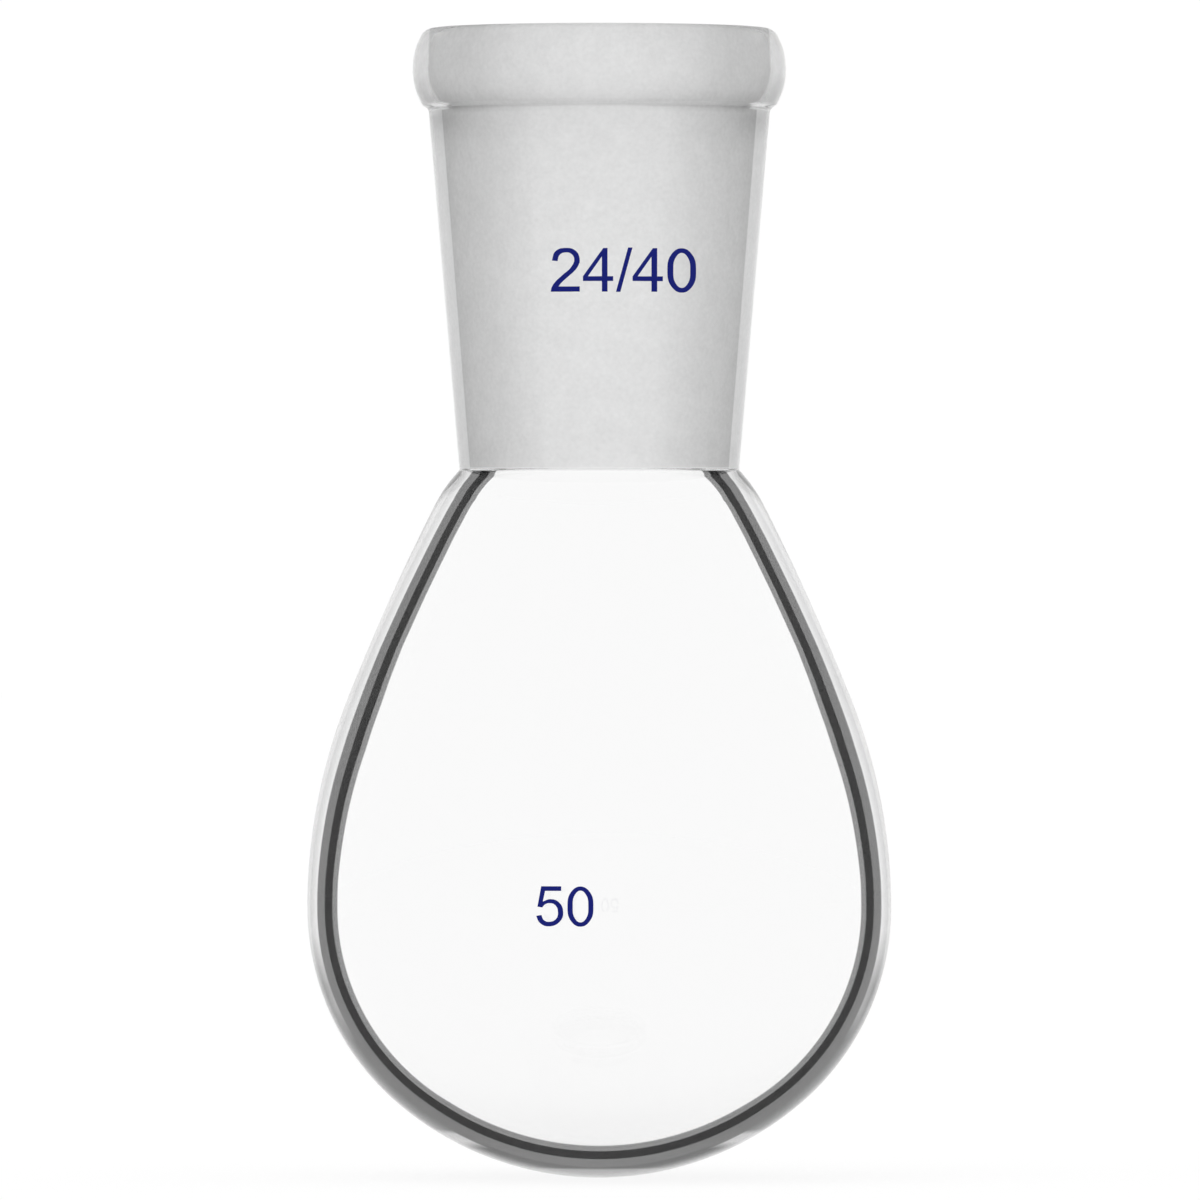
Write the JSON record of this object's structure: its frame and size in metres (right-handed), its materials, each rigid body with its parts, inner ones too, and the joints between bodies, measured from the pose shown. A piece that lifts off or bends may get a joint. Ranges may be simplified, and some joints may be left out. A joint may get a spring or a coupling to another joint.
{
  "type": "recovery flask",
  "caption": "Pear-shaped blown glass flask with a round bottom, a thick tapered neck, a standard ground glass socket and a rolled collar round the mouth.",
  "frame": {"origin": "centre of the socket's mouth, on the flat rim of the collar", "axes": "+Z along the flask's axis, out of the mouth; the bulb hangs below; +X and +Y square to it, with the printed marks facing -Y"},
  "size_m": [0.0528, 0.0528, 0.1041],
  "materials": {
    "glass": "clear borosilicate glass, with a frosted ground socket"
  },
  "bodies": {
    "root": {"flask": "glass"}
  },
  "joints": []
}
